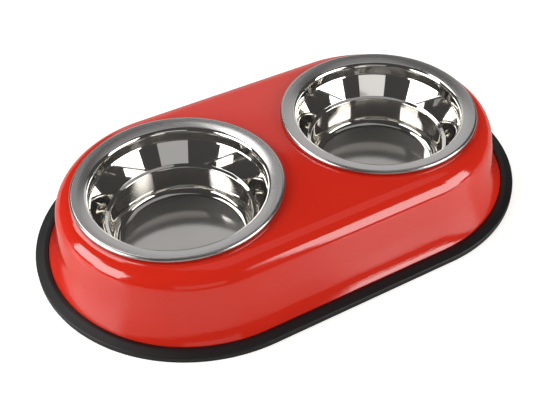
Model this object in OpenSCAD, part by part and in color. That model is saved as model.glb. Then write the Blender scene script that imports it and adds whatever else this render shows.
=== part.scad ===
// Double pet bowl: a pressed steel stand on a rubber base ring, with two lift-out stainless bowls.
// Millimetres, +Z up, +X along the length. The origin is on the ground, under the middle of the stand.
// The bowls set the size: their holes, the top round them, the wall and the ring follow from the rim.
// Every outline in plan is a stadium: two half circles of one radius, with a centre at each end.
// A section is drawn with x as that radius and y as the height, first with sharp corners, then rounded.
// The radius of a bend in sheet is the one on its inner side, as a press tool has it.

/* [Bowl] */
// Diameter over the curled edge
bowl_d = 150; // [130:1:170]
// Thickness of the bowl's steel
bowl_t = 0.8; // [0.6:0.1:1]
// Gap between the underside of the bowl and the ground
ground_gap = 4.2; // [3:0.2:6]
// Diameter of the curl round the edge of the rim
curl_d = 3.8; // [3.4:0.1:4.4]
// Part of a full turn that the curl leaves open, in degrees
curl_open = 85; // [75:5:120]
// Clearance between the curl and the top that it rests on
curl_gap = 0.3; // [0.2:0.05:0.4]
// Width of the rim, from its outer edge to the throat
rim_w = 12.5; // [10:0.5:15]
// Slope of the rim towards the inside, in degrees
rim_slope = 19; // [14:1:22]
// Radius of the bend from the rim down into the throat, the upright band under the rim
throat_bend_r = 1.2; // [0.6:0.1:1.8]
// Depth of the crease at the foot of the throat, below the top of the stand
crease_depth = 8.4; // [7:0.2:11]
// Inward jog at the crease
crease_w = 0.5; // [0.3:0.1:0.7]
// Height of the jog at the crease
crease_h = 0.7; // [0.6:0.1:1]
// Radius of the crease's two bends
crease_bend_r = 0.3; // [0.2:0.1:0.5]
// How far the upper wall draws in between the throat and the step
upper_draw = 7.7; // [6:0.1:9]
// Depth of the step's outer edge, below the top of the stand
step_depth = 25; // [20:0.5:30]
// Width of the step
step_w = 2.6; // [2.2:0.1:4]
// Drop across the step
step_drop = 1.3; // [0.8:0.1:1.6]
// Radius of the step's two bends
step_bend_r = 0.4; // [0.2:0.1:0.6]
// How far the lower wall draws in between the step and the floor
lower_draw = 1.4; // [1:0.1:4]
// Radius of the bend between the lower wall and the floor
floor_bend_r = 6.5; // [4:0.5:9]

/* [Stand] */
// Space between the rims of the two bowls
rim_space = 18; // [12:1:30]
// Height of the flat top above the ground
stand_h = 53.5; // [45:0.5:64]
// Thickness of the stand's steel
stand_t = 1; // [0.8:0.1:1.3]
// Width of the top beside a rim, to the sharp corner that the shoulder rounds
top_margin = 15.2; // [12:0.2:20]
// How far the wall leans out on its way down, in degrees from upright
wall_lean = 15.4; // [12:0.2:20]
// How far the centres of the top's round ends lie inside the centres of the bowls
top_inset = 5.8; // [0:0.2:8]
// How far the centres of the foot's round ends lie inside the centres of the bowls
foot_inset = 11.6; // [0:0.2:16]
// Radius between the top and the wall, outside
shoulder_r = 16; // [12:0.5:17]
// Radius of the long hollow curve in which the wall flares into the foot
flare_r = 70; // [55:1:80]
// Slope of the foot where it goes under the rubber, in degrees from level
toe_slope = 55; // [52:0.5:60]
// Straight run between the long curve and the tight bend into the flange
toe_run = 0.3; // [0.2:0.1:1]
// Radius of the tight hollow bend between the foot and the flange, under the rubber
toe_r = 2.6; // [2:0.1:3.4]
// Width of the flat part of the flange, outside the tight bend
flange_flat = 3.65; // [2.5:0.05:5]
// Gap all round between a bowl and the lip of its hole
hole_gap = 1.5; // [1:0.1:2]
// Radius of the bend from the top down into the lip of a hole
lip_bend_r = 1; // [0.5:0.1:1.5]
// Height of the straight part of the lip
lip_h = 3; // [1:0.5:6]

/* [Base ring] */
// Thickness of rubber under the flange
sole_t = 1.6; // [1.2:0.1:3]
// Width of rubber under the flange
sole_w = 9; // [6:0.5:10]
// Width of rubber outside the flange
ring_wall = 3.6; // [3:0.1:5]
// Thickness of rubber over the flange, at the ring's crown
crown_t = 3; // [2.4:0.1:4]
// Width from the thin edge of the upper lip to the crown
crown_w = 3; // [2.4:0.1:4]
// How far the ring's outer side ends below its crown, at the sharp corner between them
crown_drop = 1.2; // [0.8:0.1:1.6]
// Thickness of the upper lip at its thin edge
ring_lip_t = 1; // [0.8:0.1:1.3]
// Radius between the ring's outer side and its crown
ring_edge_r = 1.2; // [0.8:0.1:1.6]
// Radius over the ring's crown
crown_r = 4; // [3:0.5:5]
// Radius of the ring's outer bottom edge, and of the thin edge of its upper lip
trim_r = 0.5; // [0.3:0.1:0.6]
// Clearance over and outside the flange in its groove
ring_fit = 0.1; // [0.1:0.05:0.3]

/* [Hidden] */

// Straight steps in a half turn of the stand's outline, in a bend and in a full circle
end_steps = 36;
bend_steps = 8;
circle_steps = 144;

// Radii of the bowl, from the throat down to the floor
throat_r = bowl_d / 2 - rim_w;
step_outer_r = throat_r - upper_draw;
step_inner_r = step_outer_r - step_w;
floor_r = step_inner_r - lower_draw;

// The stand goes round the two bowls
bowl_pitch = bowl_d + rim_space;
top_half_w = bowl_d / 2 + top_margin;
top_end = bowl_pitch / 2 - top_inset;
foot_end = bowl_pitch / 2 - foot_inset;

// A hole follows the bowl that hangs in it, and the lip's bend starts outside the hole
hole_r = throat_r + bowl_t + hole_gap;
bend_start_r = hole_r + stand_t + lip_bend_r;

// The flange lies on the sole, so its height follows from the rubber under it
flange_top = sole_t + stand_t;
crown_z = flange_top + crown_t;

// The curl rests on the stand's top, and the rim runs down from the curl along its slope
curl_r = curl_d / 2;
curl_c = [bowl_d / 2 - curl_r, stand_h + curl_gap + curl_r];
rim_start_a = 90 + rim_slope;
rim_start = curl_c + curl_r * [cos(rim_start_a), sin(rim_start_a)];
throat_top_z = rim_start.y - (rim_start.x - throat_r) * tan(rim_slope);

function unit(v) = v / norm(v);
function reversed(list) = [for (i = [len(list) - 1:-1:0]) list[i]];

// Points of an arc about c that starts at angle a0 and turns by a signed angle
function arc(c, r, a0, turn, steps) =
    [for (i = [0:steps]) let (a = a0 + turn * i / steps) c + r * [cos(a), sin(a)]];

// Centre of the arc of radius r that rounds the corner p of a line coming from a and leaving for b
function corner_centre(a, p, b, r) =
    let (u = unit(a - p), v = unit(b - p)) p + unit(u + v) * r / sin(acos(u * v) / 2);

// Points of that arc, in the direction of the line
function corner(a, p, b, r, steps) =
    let (u = unit(a - p), v = unit(b - p), half = acos(u * v) / 2)
    let (c = corner_centre(a, p, b, r), start = p + u * r / tan(half) - c)
    arc(c, r, atan2(start.y, start.x), -sign(cross(u, v)) * (180 - 2 * half), steps);

// A line through the given points, with each corner rounded by its own radius, or left sharp at zero
function rounded(points, radii, steps) =
    [for (i = [0:len(points) - 1])
        for (p = radii[i] == 0 ? [points[i]]
                : corner(points[i - 1], points[i], points[i + 1], radii[i], steps)) p];

// Unit normal on the right-hand side of the way from p to q
function right_of(p, q) = let (d = unit(q - p)) [d.y, -d.x];

// The same line moved to its right by t, so that a sheet has one thickness all along
function moved_right(line, t) =
    let (last = len(line) - 1)
    [for (i = [0:last])
        let (before = right_of(line[max(i - 1, 0)], line[max(i, 1)]))
        let (after = right_of(line[min(i, last - 1)], line[min(i + 1, last)]))
        line[i] + t * (before + after) / (1 + before * after)];

// Closed outline of a sheet of thickness t on the right-hand side of a line
function sheet(line, t) = concat(line, reversed(moved_right(line, t)));

// A stadium at height z, counter-clockwise, of radius r about centres at x = -end and x = end
function stadium(r, end, z) =
    [for (side = [1, -1]) for (i = [0:end_steps])
        let (a = (i / end_steps - 1 / 2) * 180)
        [side * (end + r * cos(a)), side * r * sin(a), z]];

// Outer surface of the stand in section, from the flat top to the edge of the flange. The wall's lower
// corner lies up the toe's slope by what the two bends and the run between them take.
top_corner = [top_half_w, stand_h];
flare_turn = 90 - wall_lean - toe_slope;
toe_length = flare_r * tan(flare_turn / 2) + toe_run + toe_r * tan(toe_slope / 2);
wall_corner_z = flange_top + toe_length * sin(toe_slope);
wall_corner = [top_half_w + (stand_h - wall_corner_z) * tan(wall_lean), wall_corner_z];
toe_corner = [wall_corner.x + toe_length * cos(toe_slope), flange_top];
toe_c = corner_centre(wall_corner, toe_corner, toe_corner + [toe_r, 0], toe_r);
flange_edge = [toe_c.x + flange_flat, flange_top];
stand_line = rounded(
    [top_corner - [shoulder_r, 0], top_corner, wall_corner, toe_corner, flange_edge],
    [0, shoulder_r, flare_r, toe_r, 0], bend_steps);

// The centres of the round ends draw in on the way down, as the foot is a wider and shorter stadium
function end_at(z) = foot_end + (top_end - foot_end) * (z - flange_top) / (stand_h - flange_top);
stand_ends = [for (p = stand_line) end_at(p.y)];

// A solid through a row of stadiums, closed by the first one and the last one
module loft(section, ends) {
    rows = len(section);
    count = 2 * (end_steps + 1);
    points = [for (i = [0:rows - 1]) for (p = stadium(section[i].x, ends[i], section[i].y)) p];
    sides = [for (i = [0:rows - 2]) for (j = [0:count - 1])
        let (k = (j + 1) % count)
        [i * count + j, i * count + k, (i + 1) * count + k, (i + 1) * count + j]];
    first_cap = [for (j = [count - 1:-1:0]) j];
    last_cap = [for (j = [0:count - 1]) (rows - 1) * count + j];
    polyhedron(points, concat(sides, [first_cap, last_cap]));
}

// Puts its children at the centres of both bowls
module at_bowls() {
    for (side = [-1, 1]) translate([side * bowl_pitch / 2, 0, 0]) children();
}

// Section of the lip round a bowl hole, from its bottom edge up and out into the top
module lip_section() {
    bend_r = stand_t + lip_bend_r;
    line = rounded(
        [[hole_r, stand_h - bend_r - lip_h], [hole_r, stand_h], [bend_start_r + stand_t, stand_h]],
        [0, bend_r, 0], bend_steps);
    polygon(sheet(line, stand_t));
}

// Pressed stand: top, shoulder, wall, long flare and flange, with a turned-down lip at each hole
module stand() {
    color("#d0281c") {
        difference() {
            loft(sheet(stand_line, stand_t), concat(stand_ends, reversed(stand_ends)));
            at_bowls() translate([0, 0, stand_h / 2]) cylinder(h = stand_h, r = bend_start_r, $fn = circle_steps);
        }
        at_bowls() rotate_extrude($fn = circle_steps) lip_section();
    }
}

// Section of the rubber ring: sole, outer side, crown, and an upper lip that hugs the whole tight bend
module ring_section() {
    hug = arc(toe_c, toe_r - ring_fit, 270 - toe_slope, toe_slope, bend_steps);
    groove_end = flange_edge.x + ring_fit;
    sole_edge = flange_edge.x - sole_w;
    side_x = flange_edge.x + ring_wall;
    polygon(concat(
        rounded(
            [[sole_edge, 0], [side_x, 0], [side_x, crown_z - crown_drop],
             [hug[0].x + crown_w, crown_z], hug[0] + [0, ring_lip_t], hug[0]],
            [0, trim_r, ring_edge_r, crown_r, trim_r, 0], bend_steps),
        [for (i = [1:bend_steps]) hug[i]],
        [[groove_end, flange_top + ring_fit], [groove_end, sole_t], [sole_edge, sole_t]]));
}

// Rubber base ring, pushed over the flange all the way round
module base_ring() {
    color("#232324") for (turn = [0, 180]) rotate(turn) translate([foot_end, 0, 0]) {
        rotate(-90) rotate_extrude(angle = 180, $fn = circle_steps) ring_section();
        rotate([90, 0, -90]) linear_extrude(2 * foot_end) ring_section();
    }
}

// Inner surface of a bowl in section, from its middle up to the rim. The sheet is on its right, so a
// bend to the right has the bend's radius and the thickness, and a bend to the left has the radius.
floor_z = ground_gap + bowl_t;
crease_z = stand_h - crease_depth;
rim_line = rounded(
    [[0, floor_z], [floor_r, floor_z],
     [step_inner_r, stand_h - step_depth - step_drop], [step_outer_r, stand_h - step_depth],
     [throat_r - crease_w, crease_z], [throat_r, crease_z + crease_h],
     [throat_r, throat_top_z], rim_start],
    [0, floor_bend_r,
     step_bend_r + bowl_t, step_bend_r,
     crease_bend_r + bowl_t, crease_bend_r,
     throat_bend_r + bowl_t, 0], bend_steps);

// The rest of it, round the curl
curl_line = arc(curl_c, curl_r, rim_start_a, curl_open - 360, 2 * bend_steps);

// One bowl, spun from one sheet, with its rim at the height where it hangs in the stand
module bowl() {
    color("#b4b2ae") rotate_extrude($fn = circle_steps)
        polygon(sheet(concat(rim_line, [for (i = [1:2 * bend_steps]) curl_line[i]]), bowl_t));
}

module left_bowl() translate([-bowl_pitch / 2, 0, 0]) bowl();

module right_bowl() translate([bowl_pitch / 2, 0, 0]) bowl();

stand();
base_ring();
left_bowl();
right_bowl();
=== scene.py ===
"""Double pet bowl: a gloss red pressed stand on a rubber ring, with two stainless bowls hung in it.

Every piece is drawn as a section in millimetres, x out from its axis and z up, then spun, and it is
scaled to metres last. A sheet is drawn by one face, the stand's outer one and a bowl's inner one, and
its thickness is added behind. A bend's radius is that of the drawn face, except in the step and the
crease of a bowl, where it is the one on the bend's inner side.
"""

from math import cos, pi, radians, sin, tan

import bmesh
import bpy
from mathutils import Matrix, Vector


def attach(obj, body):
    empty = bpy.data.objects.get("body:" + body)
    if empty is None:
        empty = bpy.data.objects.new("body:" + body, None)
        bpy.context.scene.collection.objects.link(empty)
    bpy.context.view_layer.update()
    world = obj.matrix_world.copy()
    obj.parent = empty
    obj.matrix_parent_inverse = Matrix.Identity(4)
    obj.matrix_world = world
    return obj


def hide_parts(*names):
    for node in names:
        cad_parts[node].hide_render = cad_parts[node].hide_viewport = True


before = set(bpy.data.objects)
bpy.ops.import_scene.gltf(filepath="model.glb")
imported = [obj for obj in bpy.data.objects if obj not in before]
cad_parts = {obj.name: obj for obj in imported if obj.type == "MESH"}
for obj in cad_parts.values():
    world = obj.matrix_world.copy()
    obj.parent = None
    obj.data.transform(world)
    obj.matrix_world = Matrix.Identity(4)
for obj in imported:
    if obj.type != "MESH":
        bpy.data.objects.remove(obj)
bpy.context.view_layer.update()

MM = 0.001

# Fineness of the meshes: steps in a bend, in a full circle and in a round end of the stand
BEND_STEPS = 12
CIRCLE_STEPS = 256
END_STEPS = 160
# How near a bend's end the straight run beside it gets a point, so that its shading stays flat
HOLD = 0.35
# Points nearer than this are one point
TOUCH = 0.001
# The sharpest turn between two faces that is still shaded smooth
SMOOTH_ANGLE = radians(40)

# The bowl. The solids have a straight rim, a tighter throat, and the step about 1 mm further out: here
# the rim is the soft rounded band that its highlights show
BOWL_R = 75
BOWL_T = 0.8
FLOOR_Z = 5
CURL_R = 1.9
CURL_TURN = radians(265)
CURL_GAP = 0.3
RIM_SLOPE = radians(9)
RIM_INNER_SLOPE = radians(21)
RIM_BEND_X = 67.5
RIM_BEND_R = 28
THROAT_R = 62.5
THROAT_BEND_R = 3.5
CREASE_DEPTH = 8.4
CREASE_W = 0.5
CREASE_H = 0.7
CREASE_BEND_R = 0.3
STEP_R = 53.8
STEP_DEPTH = 24.2
STEP_W = 2.6
STEP_H = 1.3
STEP_BEND_R = 0.4
FLOOR_R = 50.2
FLOOR_BEND_R = 6.5
# The satin of the rim ends this far outside the throat, where the polish begins
SATIN_MARGIN = 2.1
# A face whose middle is no higher above the floor than this belongs to the floor
FLOOR_TOUCH = 0.01

# The stand, as the solids have it
STAND_H = 53.5
STAND_T = 1
TOP_HALF_W = 90.2
TOP_END = 78.2
FOOT_END = 72.4
SHOULDER_R = 16
WALL_LEAN = radians(15.4)
FLARE_R = 70
TOE_SLOPE = radians(55)
TOE_RUN = 0.3
TOE_R = 2.6
FLANGE_FLAT = 3.65
BOWL_X = 84
HOLE_R = 64.8
LIP_BEND_R = 2
LIP_H = 3
LIP_LAND = 1

# The rubber ring, as the solids have it
SOLE_T = 1.6
SOLE_W = 9
RING_WALL = 3.6
CROWN_Z = 5.6
CROWN_W = 3
CROWN_DROP = 1.2
RING_LIP_T = 1
RING_FIT = 0.1
SOLE_EDGE_R = 0.5
RING_SIDE_R = 1.2
CROWN_R = 4
RING_LIP_R = 0.5

# Where the stand's straight runs would meet, and the flange's edge
FLANGE_TOP = SOLE_T + STAND_T
TOE_LENGTH = FLARE_R * tan((pi / 2 - WALL_LEAN - TOE_SLOPE) / 2) + TOE_RUN + TOE_R * tan(TOE_SLOPE / 2)
WALL_CORNER_Z = FLANGE_TOP + TOE_LENGTH * sin(TOE_SLOPE)
WALL_CORNER_R = TOP_HALF_W + (STAND_H - WALL_CORNER_Z) * tan(WALL_LEAN)
TOE_CORNER_R = WALL_CORNER_R + TOE_LENGTH * cos(TOE_SLOPE)
TOE_C = Vector((TOE_CORNER_R + TOE_R * tan(TOE_SLOPE / 2), FLANGE_TOP + TOE_R))
FLANGE_R = TOE_C.x + FLANGE_FLAT

# Real sizes of the finishes' patterns, in metres
PEEL_WIDTH = 3.03 * MM
SPRAY_CLOUD = 55.6 * MM
RUBBER_GRAIN = 0.625 * MM
RUBBER_BLOOM = 16.7 * MM
RING_SPACING = 0.6 * MM

# The camera, fitted to the rims and outlines in the photograph
PHOTO_W, PHOTO_H = 550, 412
CAMERA_AZIMUTH = radians(-30.68)
CAMERA_ELEVATION = radians(41.19)
CAMERA_DISTANCE = 761.2 * MM
CAMERA_TARGET = Vector((28.6, 16.0, 0)) * MM
FOCAL_PX = 961.95
AXIS_PX = (305.19, 177.27)
SENSOR_W = 36

# The studio: how bright the room is, how much light the camera sees added to the floor near the object
# and far off, where near ends and far begins in metres, and half the floor's width
ROOM_LIGHT = 0.055
FLOOR_LIFT = 0.6
FLOOR_LIFT_FAR = 1
FLOOR_NEAR, FLOOR_FAR = 1, 2.5
FLOOR_HALF_W = 6

# The soft lights, read from what the enamel and the bowls mirror: azimuth, elevation, distance, width,
# height and brightness. A large one stands low in front on the right, one as large on the left, and a
# high one behind that. White cards stand close behind on the right, a dim strip in two heights stands
# by the camera, and a dim panel hangs overhead.
SOFTBOXES = {
    "front_right": (40.5, 22.4, 1.8, 1.27, 1.02, 5.7),
    "left": (-101, 23, 1.8, 1.4, 0.95, 6.8),
    "back_left_high": (-161, 52, 1.8, 0.7, 0.8, 4.1),
    "back_card_high": (165.9, 45.9, 0.98, 0.21, 0.09, 0.72),
    "back_card": (148, 24.2, 0.74, 0.85, 0.5, 0.5),
    "back_card_low": (148, 22, 0.76, 0.85, 0.46, 0.22),
    "camera_strip_low": (-22, 13.5, 1.8, 1.15, 0.41, 0.46),
    "camera_strip_high": (-22, 22.2, 1.8, 1.15, 0.14, 0.95),
    "ceiling": (105, 74, 1.8, 1.2, 1.2, 0.33),
}


def bent_line(bm, section, closed=False):
    """Draws a section: straight runs through its corners (out, up), each corner bent to the radius given
    with it, and a point held near both ends of every long run. Returns the line's last point."""
    points = [bm.verts.new((x, 0, z)) for (x, z), _ in section]
    for a, b in zip(points, points[1:] + points[:1] * closed):
        bm.edges.new((a, b))
    last = points[-1]
    for point, (_, radius) in zip(points, section):
        if radius:
            a, b = (e.other_vert(point).co - point.co for e in point.link_edges)
            bmesh.ops.bevel(
                bm,
                geom=[point],
                offset=radius / tan(a.angle(b) / 2),
                offset_type="OFFSET",
                segments=BEND_STEPS,
                profile=0.5,
                affect="VERTICES",
                material=-1,
            )
    for run in [e for e in bm.edges if e.calc_length() > 4 * HOLD]:
        near, far = run.verts
        length = run.calc_length()
        first, middle = bmesh.utils.edge_split(run, near, HOLD / length)
        rest = next(e for e in middle.link_edges if far in e.verts)
        bmesh.utils.edge_split(rest, far, HOLD / (length - HOLD))
    return last


def spin_line(bm, steps, turn=2 * pi):
    """Spins everything drawn so far about the upright axis, and closes the seam and the pole."""
    bmesh.ops.spin(
        bm,
        geom=bm.verts[:] + bm.edges[:],
        cent=(0, 0, 0),
        axis=(0, 0, 1),
        angle=turn,
        steps=steps,
        use_merge=turn == 2 * pi,
    )
    bmesh.ops.remove_doubles(bm, verts=bm.verts, dist=TOUCH)


def spin_end(bm):
    """Spins a section half round, from the front to the back, as one end of the stand."""
    bmesh.ops.rotate(bm, cent=(0, 0, 0), matrix=Matrix.Rotation(-pi / 2, 3, "Z"), verts=bm.verts)
    spin_line(bm, END_STEPS, pi)


def spread_ends(bm, slant):
    """Makes a stadium of a half turn: moves it out to its end centre, adds the other end, and bridges
    the straight sides. slant(z) is the distance of the end's centre from the middle at a height."""
    rise = slant(1) - slant(0)
    bmesh.ops.transform(
        bm,
        matrix=Matrix(((1, 0, rise, slant(0)), (0, 1, 0, 0), (0, 0, 1, 0), (0, 0, 0, 1))),
        verts=bm.verts,
    )
    copy = bmesh.ops.duplicate(bm, geom=bm.verts[:] + bm.edges[:] + bm.faces[:])
    bmesh.ops.rotate(
        bm,
        cent=(0, 0, 0),
        matrix=Matrix.Rotation(pi, 3, "Z"),
        verts=[g for g in copy["geom"] if isinstance(g, bmesh.types.BMVert)],
    )
    for side in (-1, 1):
        seams = [
            e
            for e in bm.edges
            if e.is_boundary
            and all(v.co.y * side > 0 and abs(abs(v.co.x) - slant(v.co.z)) < TOUCH for v in e.verts)
        ]
        bmesh.ops.bridge_loops(bm, edges=seams)


def end_centre(z):
    """How far the centre of the stand's round end lies from the middle, at a height."""
    return FOOT_END + (TOP_END - FOOT_END) * (z - FLANGE_TOP) / (STAND_H - FLANGE_TOP)


def finish_piece(bm, name, body, node, materials):
    """Turns the drawing into a piece in metres that rides on its body and stands for its node."""
    bmesh.ops.scale(bm, vec=(MM,) * 3, verts=bm.verts)
    for face in bm.faces:
        face.smooth = True
    mesh = bpy.data.meshes.new(name)
    bm.to_mesh(mesh)
    bm.free()
    mesh.set_sharp_from_angle(angle=SMOOTH_ANGLE)
    for material in materials:
        mesh.materials.append(material)
    piece = bpy.data.objects.new(name, mesh)
    bpy.context.scene.collection.objects.link(piece)
    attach(piece, body)
    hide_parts(node)


def linear(hex_colour):
    """An sRGB hex colour as linear RGBA."""
    parts = [int(hex_colour[i : i + 2], 16) / 255 for i in (1, 3, 5)]
    return [c / 12.92 if c <= 0.04045 else ((c + 0.055) / 1.055) ** 2.4 for c in parts] + [1]


def add(tree, kind, settings=None, **sockets):
    """Adds a node with its own settings. A socket is named as Blender names it, with _ for a space, and
    takes a value or the output that feeds it."""
    node = tree.nodes.new(kind)
    for name, value in (settings or {}).items():
        setattr(node, name, value)
    for name, value in sockets.items():
        key = int(name[1:]) if name[0] == "_" else name.replace("_", " ")
        if isinstance(value, bpy.types.NodeSocket):
            tree.links.new(value, node.inputs[key])
        else:
            node.inputs[key].default_value = value
    return node


def new_material(name):
    """An empty node material, with its tree and output."""
    material = bpy.data.materials.new(name)
    material.use_nodes = True
    material.node_tree.nodes.clear()
    return material, material.node_tree, material.node_tree.nodes.new("ShaderNodeOutputMaterial")


def red_enamel():
    """Stove enamel, sprayed on the pressed steel and baked: a deep, wet gloss. The spray dries with a
    slight orange peel, about 3 mm from crest to crest, which softens what it mirrors, and its colour
    and gloss vary a little in clouds as wide as the spray's pass."""
    material, tree, output = new_material("red_enamel")
    place = add(tree, "ShaderNodeTexCoord").outputs["Object"]
    peel = add(tree, "ShaderNodeTexNoise", Vector=place, Scale=1 / PEEL_WIDTH, Detail=1)
    cloud = add(tree, "ShaderNodeTexNoise", Vector=place, Scale=1 / SPRAY_CLOUD, Detail=3)
    tint = add(
        tree,
        "ShaderNodeMix",
        {"data_type": "RGBA"},
        Factor=cloud.outputs["Fac"],
        _6=linear("#DA2917"),
        _7=linear("#E02C19"),
    )
    gloss = add(tree, "ShaderNodeMapRange", Value=cloud.outputs["Fac"], To_Min=0.07, To_Max=0.1)
    bump = add(tree, "ShaderNodeBump", Height=peel.outputs["Fac"], Strength=0.05, Distance=0.4 * MM)
    paint = add(
        tree,
        "ShaderNodeBsdfPrincipled",
        Base_Color=tint.outputs[2],
        Roughness=gloss.outputs["Result"],
        IOR=1.6,
        Normal=bump.outputs["Normal"],
    )
    tree.links.new(paint.outputs[0], output.inputs["Surface"])
    return material


def moulded_rubber():
    """Black rubber moulded in a satin tool: a low broad sheen, a grain of about 0.6 mm, and a bloom
    that greys it a little in patches."""
    material, tree, output = new_material("moulded_rubber")
    place = add(tree, "ShaderNodeTexCoord").outputs["Object"]
    grain = add(tree, "ShaderNodeTexNoise", Vector=place, Scale=1 / RUBBER_GRAIN, Detail=2)
    bloom = add(tree, "ShaderNodeTexNoise", Vector=place, Scale=1 / RUBBER_BLOOM, Detail=4)
    tint = add(
        tree,
        "ShaderNodeMix",
        {"data_type": "RGBA"},
        Factor=bloom.outputs["Fac"],
        _6=linear("#0D0D0E"),
        _7=linear("#161617"),
    )
    sheen = add(tree, "ShaderNodeMapRange", Value=bloom.outputs["Fac"], To_Min=0.42, To_Max=0.54)
    bump = add(tree, "ShaderNodeBump", Height=grain.outputs["Fac"], Strength=0.15, Distance=0.2 * MM)
    rubber = add(
        tree,
        "ShaderNodeBsdfPrincipled",
        Base_Color=tint.outputs[2],
        Roughness=sheen.outputs["Result"],
        IOR=1.42,
        Normal=bump.outputs["Normal"],
    )
    tree.links.new(rubber.outputs[0], output.inputs["Surface"])
    return material


def spun_rings(tree):
    """Fine rings about the axis of whichever bowl a point belongs to, from 0 to 1, as a lathe leaves
    them. The real ones are finer than the picture can show, so they are drawn 0.6 mm apart."""
    place = add(tree, "ShaderNodeTexCoord").outputs["Object"]
    split = add(tree, "ShaderNodeSeparateXYZ", Vector=place)
    axis_x = BOWL_X * MM
    across = add(tree, "ShaderNodeMath", {"operation": "ABSOLUTE"}, _0=split.outputs["X"])
    centred = add(tree, "ShaderNodeMath", {"operation": "SUBTRACT"}, _0=across.outputs[0], _1=axis_x)
    flat = add(tree, "ShaderNodeCombineXYZ", X=centred.outputs[0], Y=split.outputs["Y"])
    out = add(tree, "ShaderNodeVectorMath", {"operation": "LENGTH"}, _0=flat.outputs[0])
    ring = add(tree, "ShaderNodeCombineXYZ", X=out.outputs["Value"], Z=split.outputs["Z"])
    return add(tree, "ShaderNodeTexNoise", Vector=ring.outputs[0], Scale=1 / RING_SPACING, Detail=3)


def steel(name, colour, low, high, depth, haze):
    """Stainless steel, spun on a lathe: it mirrors the room between two roughnesses, low and high, as
    the rings lie. depth is how much the rings stand out, and haze the share of light that the fine
    scratches scatter in every direction."""
    material, tree, output = new_material(name)
    rings = spun_rings(tree)
    gloss = add(tree, "ShaderNodeMapRange", Value=rings.outputs["Fac"], To_Min=low, To_Max=high)
    bump = add(tree, "ShaderNodeBump", Height=rings.outputs["Fac"], Strength=depth, Distance=0.1 * MM)
    metal = add(
        tree,
        "ShaderNodeBsdfPrincipled",
        Base_Color=linear(colour),
        Metallic=1 - haze,
        Roughness=gloss.outputs["Result"],
        Normal=bump.outputs["Normal"],
    )
    tree.links.new(metal.outputs[0], output.inputs["Surface"])
    return material


def make_bowl(name, x, materials):
    """One bowl: its inner face drawn from the floor's middle to the rim, the curl spun on from there,
    and the whole given its thickness behind. The materials are the rim's satin, the inside's polish and
    the floor's brushed one, in that order."""
    curl_z = STAND_H + CURL_GAP + CURL_R
    rim_x = BOWL_R - CURL_R - CURL_R * sin(RIM_SLOPE)
    rim_z = curl_z + CURL_R * cos(RIM_SLOPE)
    bend_z = rim_z - (rim_x - RIM_BEND_X) * tan(RIM_SLOPE)
    throat_z = bend_z - (RIM_BEND_X - THROAT_R) * tan(RIM_INNER_SLOPE)
    crease_z = STAND_H - CREASE_DEPTH
    step_z = STAND_H - STEP_DEPTH
    section = [
        ((0, FLOOR_Z), 0),
        ((FLOOR_R, FLOOR_Z), FLOOR_BEND_R),
        ((STEP_R - STEP_W, step_z - STEP_H), STEP_BEND_R + BOWL_T),
        ((STEP_R, step_z), STEP_BEND_R),
        ((THROAT_R - CREASE_W, crease_z), CREASE_BEND_R + BOWL_T),
        ((THROAT_R, crease_z + CREASE_H), CREASE_BEND_R),
        ((THROAT_R, throat_z), THROAT_BEND_R),
        ((RIM_BEND_X, bend_z), RIM_BEND_R),
        ((rim_x, rim_z), 0),
    ]
    bm = bmesh.new()
    rim = bent_line(bm, section)
    bmesh.ops.spin(
        bm,
        geom=[rim],
        cent=(BOWL_R - CURL_R, 0, curl_z),
        axis=(0, 1, 0),
        angle=CURL_TURN,
        steps=2 * BEND_STEPS,
    )
    spin_line(bm, CIRCLE_STEPS)
    bmesh.ops.recalc_face_normals(bm, faces=bm.faces)
    satin, polished, brushed = range(len(materials))
    for face in bm.faces:
        middle = face.calc_center_median()
        if middle.xy.length > THROAT_R + SATIN_MARGIN:
            face.material_index = satin
        elif middle.z > FLOOR_Z + FLOOR_TOUCH:
            face.material_index = polished
        else:
            face.material_index = brushed
    bmesh.ops.solidify(bm, geom=bm.faces[:], thickness=BOWL_T)
    bmesh.ops.translate(bm, vec=(x, 0, 0), verts=bm.verts)
    finish_piece(bm, name + "_steel", name, name, materials)


def add_hole_lip(bm, x):
    """Adds the turned-down lip of a hole to the stand, with a narrow land round it at the top."""
    section = [
        ((HOLE_R, STAND_H - LIP_BEND_R - LIP_H), 0),
        ((HOLE_R, STAND_H), LIP_BEND_R),
        ((HOLE_R + LIP_BEND_R + LIP_LAND, STAND_H), 0),
    ]
    lip = bmesh.new()
    bent_line(lip, section)
    spin_line(lip, CIRCLE_STEPS)
    bmesh.ops.translate(lip, vec=(x, 0, 0), verts=lip.verts)
    part = bpy.data.meshes.new("lip")
    lip.to_mesh(part)
    lip.free()
    bm.from_mesh(part)
    bpy.data.meshes.remove(part)


def make_stand(material):
    """The pressed stand: a section spun round each end and bridged along the sides, the top filled in
    between it and the turned-down lips of the two holes, and the sheet's thickness added below."""
    section = [
        ((TOP_HALF_W - SHOULDER_R, STAND_H), 0),
        ((TOP_HALF_W, STAND_H), SHOULDER_R),
        ((WALL_CORNER_R, WALL_CORNER_Z), FLARE_R),
        ((TOE_CORNER_R, FLANGE_TOP), TOE_R),
        ((FLANGE_R, FLANGE_TOP), 0),
    ]
    bm = bmesh.new()
    bent_line(bm, section)
    spin_end(bm)
    spread_ends(bm, end_centre)
    for side in (-1, 1):
        add_hole_lip(bm, side * BOWL_X)
    top_edges = [
        e for e in bm.edges if e.is_boundary and all(abs(v.co.z - STAND_H) < TOUCH for v in e.verts)
    ]
    bmesh.ops.triangle_fill(bm, use_beauty=True, edges=top_edges, normal=(0, 0, 1))
    bmesh.ops.recalc_face_normals(bm, faces=bm.faces)
    bmesh.ops.solidify(bm, geom=bm.faces[:], thickness=STAND_T)
    finish_piece(bm, "stand_enamel", "base", "stand", [material])


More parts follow.
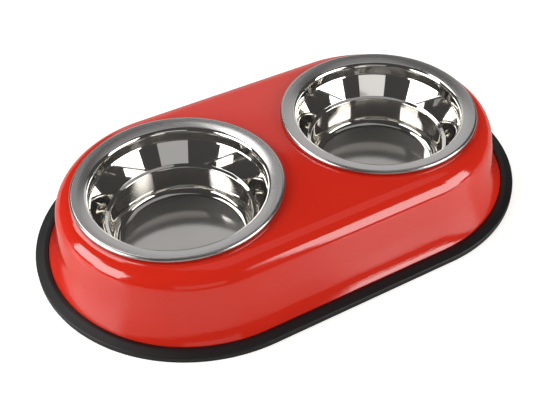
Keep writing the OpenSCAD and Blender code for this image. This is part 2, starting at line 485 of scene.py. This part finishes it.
def make_ring(material):
    """The rubber ring: its channel section spun round each end and bridged along the sides."""
    hug_r = TOE_R - RING_FIT
    lip_x = TOE_C.x - hug_r * sin(TOE_SLOPE)
    lip_z = TOE_C.y - hug_r * cos(TOE_SLOPE)
    side_x = FLANGE_R + RING_WALL
    sole_x = FLANGE_R - SOLE_W
    groove_x = FLANGE_R + RING_FIT
    groove_z = FLANGE_TOP + RING_FIT
    section = [
        ((sole_x, 0), 0),
        ((side_x, 0), SOLE_EDGE_R),
        ((side_x, CROWN_Z - CROWN_DROP), RING_SIDE_R),
        ((lip_x + CROWN_W, CROWN_Z), CROWN_R),
        ((lip_x, lip_z + RING_LIP_T), RING_LIP_R),
        ((lip_x, lip_z), 0),
        ((TOE_C.x - hug_r * tan(TOE_SLOPE / 2), groove_z), hug_r),
        ((groove_x, groove_z), 0),
        ((groove_x, SOLE_T), 0),
        ((sole_x, SOLE_T), 0),
    ]
    bm = bmesh.new()
    bent_line(bm, section, closed=True)
    spin_end(bm)
    spread_ends(bm, lambda z: FOOT_END)
    bmesh.ops.recalc_face_normals(bm, faces=bm.faces)
    finish_piece(bm, "ring_rubber", "base", "base_ring", [material])


def direction(azimuth, elevation):
    """Unit vector from the object towards a place round it, with azimuth 0 in front and 90 at +X."""
    return Vector((sin(azimuth) * cos(elevation), -cos(azimuth) * cos(elevation), sin(elevation)))


def make_camera():
    """The photograph's view."""
    data = bpy.data.cameras.new("camera")
    data.sensor_width = SENSOR_W
    data.lens = FOCAL_PX / PHOTO_W * SENSOR_W
    data.shift_x = (PHOTO_W / 2 - AXIS_PX[0]) / PHOTO_W
    data.shift_y = (AXIS_PX[1] - PHOTO_H / 2) / PHOTO_W
    data.clip_start, data.clip_end = 0.01, 100
    camera = bpy.data.objects.new("camera", data)
    back = direction(CAMERA_AZIMUTH, CAMERA_ELEVATION)
    camera.location = CAMERA_TARGET + back * CAMERA_DISTANCE
    camera.rotation_mode = "QUATERNION"
    camera.rotation_quaternion = (-back).to_track_quat("-Z", "Y")
    bpy.context.scene.collection.objects.link(camera)
    bpy.context.scene.camera = camera


def make_floor():
    """A pale, softly glossy board, which mirrors the lights on to the stand's wall. The camera sees it
    lifted to white, wholly so in the distance, and near the object it keeps the shadow."""
    material, tree, output = new_material("pale_board")
    path = add(tree, "ShaderNodeLightPath")
    place = add(tree, "ShaderNodeTexCoord").outputs["Object"]
    away = add(tree, "ShaderNodeVectorMath", {"operation": "LENGTH"}, _0=place)
    rise = add(
        tree,
        "ShaderNodeMapRange",
        Value=away.outputs["Value"],
        From_Min=FLOOR_NEAR,
        From_Max=FLOOR_FAR,
        To_Min=FLOOR_LIFT,
        To_Max=FLOOR_LIFT_FAR,
    )
    board = add(tree, "ShaderNodeBsdfPrincipled", Base_Color=linear("#EBE7DF"), Roughness=0.32, IOR=1.4)
    lift = add(tree, "ShaderNodeEmission", Strength=rise.outputs["Result"])
    both = add(tree, "ShaderNodeAddShader", _0=board.outputs[0], _1=lift.outputs[0])
    shown = add(
        tree,
        "ShaderNodeMixShader",
        _0=path.outputs["Is Camera Ray"],
        _1=board.outputs[0],
        _2=both.outputs[0],
    )
    tree.links.new(shown.outputs[0], output.inputs["Surface"])
    bm = bmesh.new()
    bmesh.ops.create_grid(bm, x_segments=1, y_segments=1, size=FLOOR_HALF_W)
    mesh = bpy.data.meshes.new("floor")
    bm.to_mesh(mesh)
    bm.free()
    mesh.materials.append(material)
    floor = bpy.data.objects.new("floor", mesh)
    bpy.context.scene.collection.objects.link(floor)


def softbox(name, azimuth, elevation, distance, width, height, brightness):
    """A soft light aimed at the object. brightness is what a mirror would show of its face."""
    data = bpy.data.lights.new(name, "AREA")
    data.shape = "RECTANGLE"
    data.size, data.size_y = width, height
    data.energy = brightness * pi * width * height
    lamp = bpy.data.objects.new(name, data)
    towards = direction(radians(azimuth), radians(elevation))
    lamp.location = towards * distance
    lamp.rotation_mode = "QUATERNION"
    lamp.rotation_quaternion = towards.to_track_quat("Z", "Y")
    bpy.context.scene.collection.objects.link(lamp)


def make_world():
    """A dim studio above the floor, white where the camera sees it."""
    world = bpy.data.worlds.new("studio")
    bpy.context.scene.world = world
    world.use_nodes = True
    tree = world.node_tree
    tree.nodes.clear()
    path = add(tree, "ShaderNodeLightPath")
    dim = add(tree, "ShaderNodeBackground", Color=linear("#FFFFFF"), Strength=ROOM_LIGHT)
    white = add(tree, "ShaderNodeBackground", Color=linear("#FFFFFF"), Strength=1)
    shown = add(
        tree,
        "ShaderNodeMixShader",
        _0=path.outputs["Is Camera Ray"],
        _1=dim.outputs[0],
        _2=white.outputs[0],
    )
    output = tree.nodes.new("ShaderNodeOutputWorld")
    tree.links.new(shown.outputs[0], output.inputs["Surface"])


make_stand(red_enamel())
make_ring(moulded_rubber())
# The rim is satin from fine abrasive, the inside is buffed to a mirror, and the floor is left brushed
bowl_finishes = [
    steel("satin_steel", "#BEBCBA", low=0.22, high=0.28, depth=0.05, haze=0.03),
    steel("polished_steel", "#DAD7D2", low=0.03, high=0.05, depth=0.01, haze=0.02),
    steel("brushed_steel", "#C4C1BD", low=0.1, high=0.13, depth=0.03, haze=0.2),
]
make_bowl("left_bowl", -BOWL_X, bowl_finishes)
make_bowl("right_bowl", BOWL_X, bowl_finishes)

make_camera()
make_floor()
make_world()
for lamp_name, lamp_values in SOFTBOXES.items():
    softbox(lamp_name, *lamp_values)

bpy.context.scene.view_settings.view_transform = "Standard"
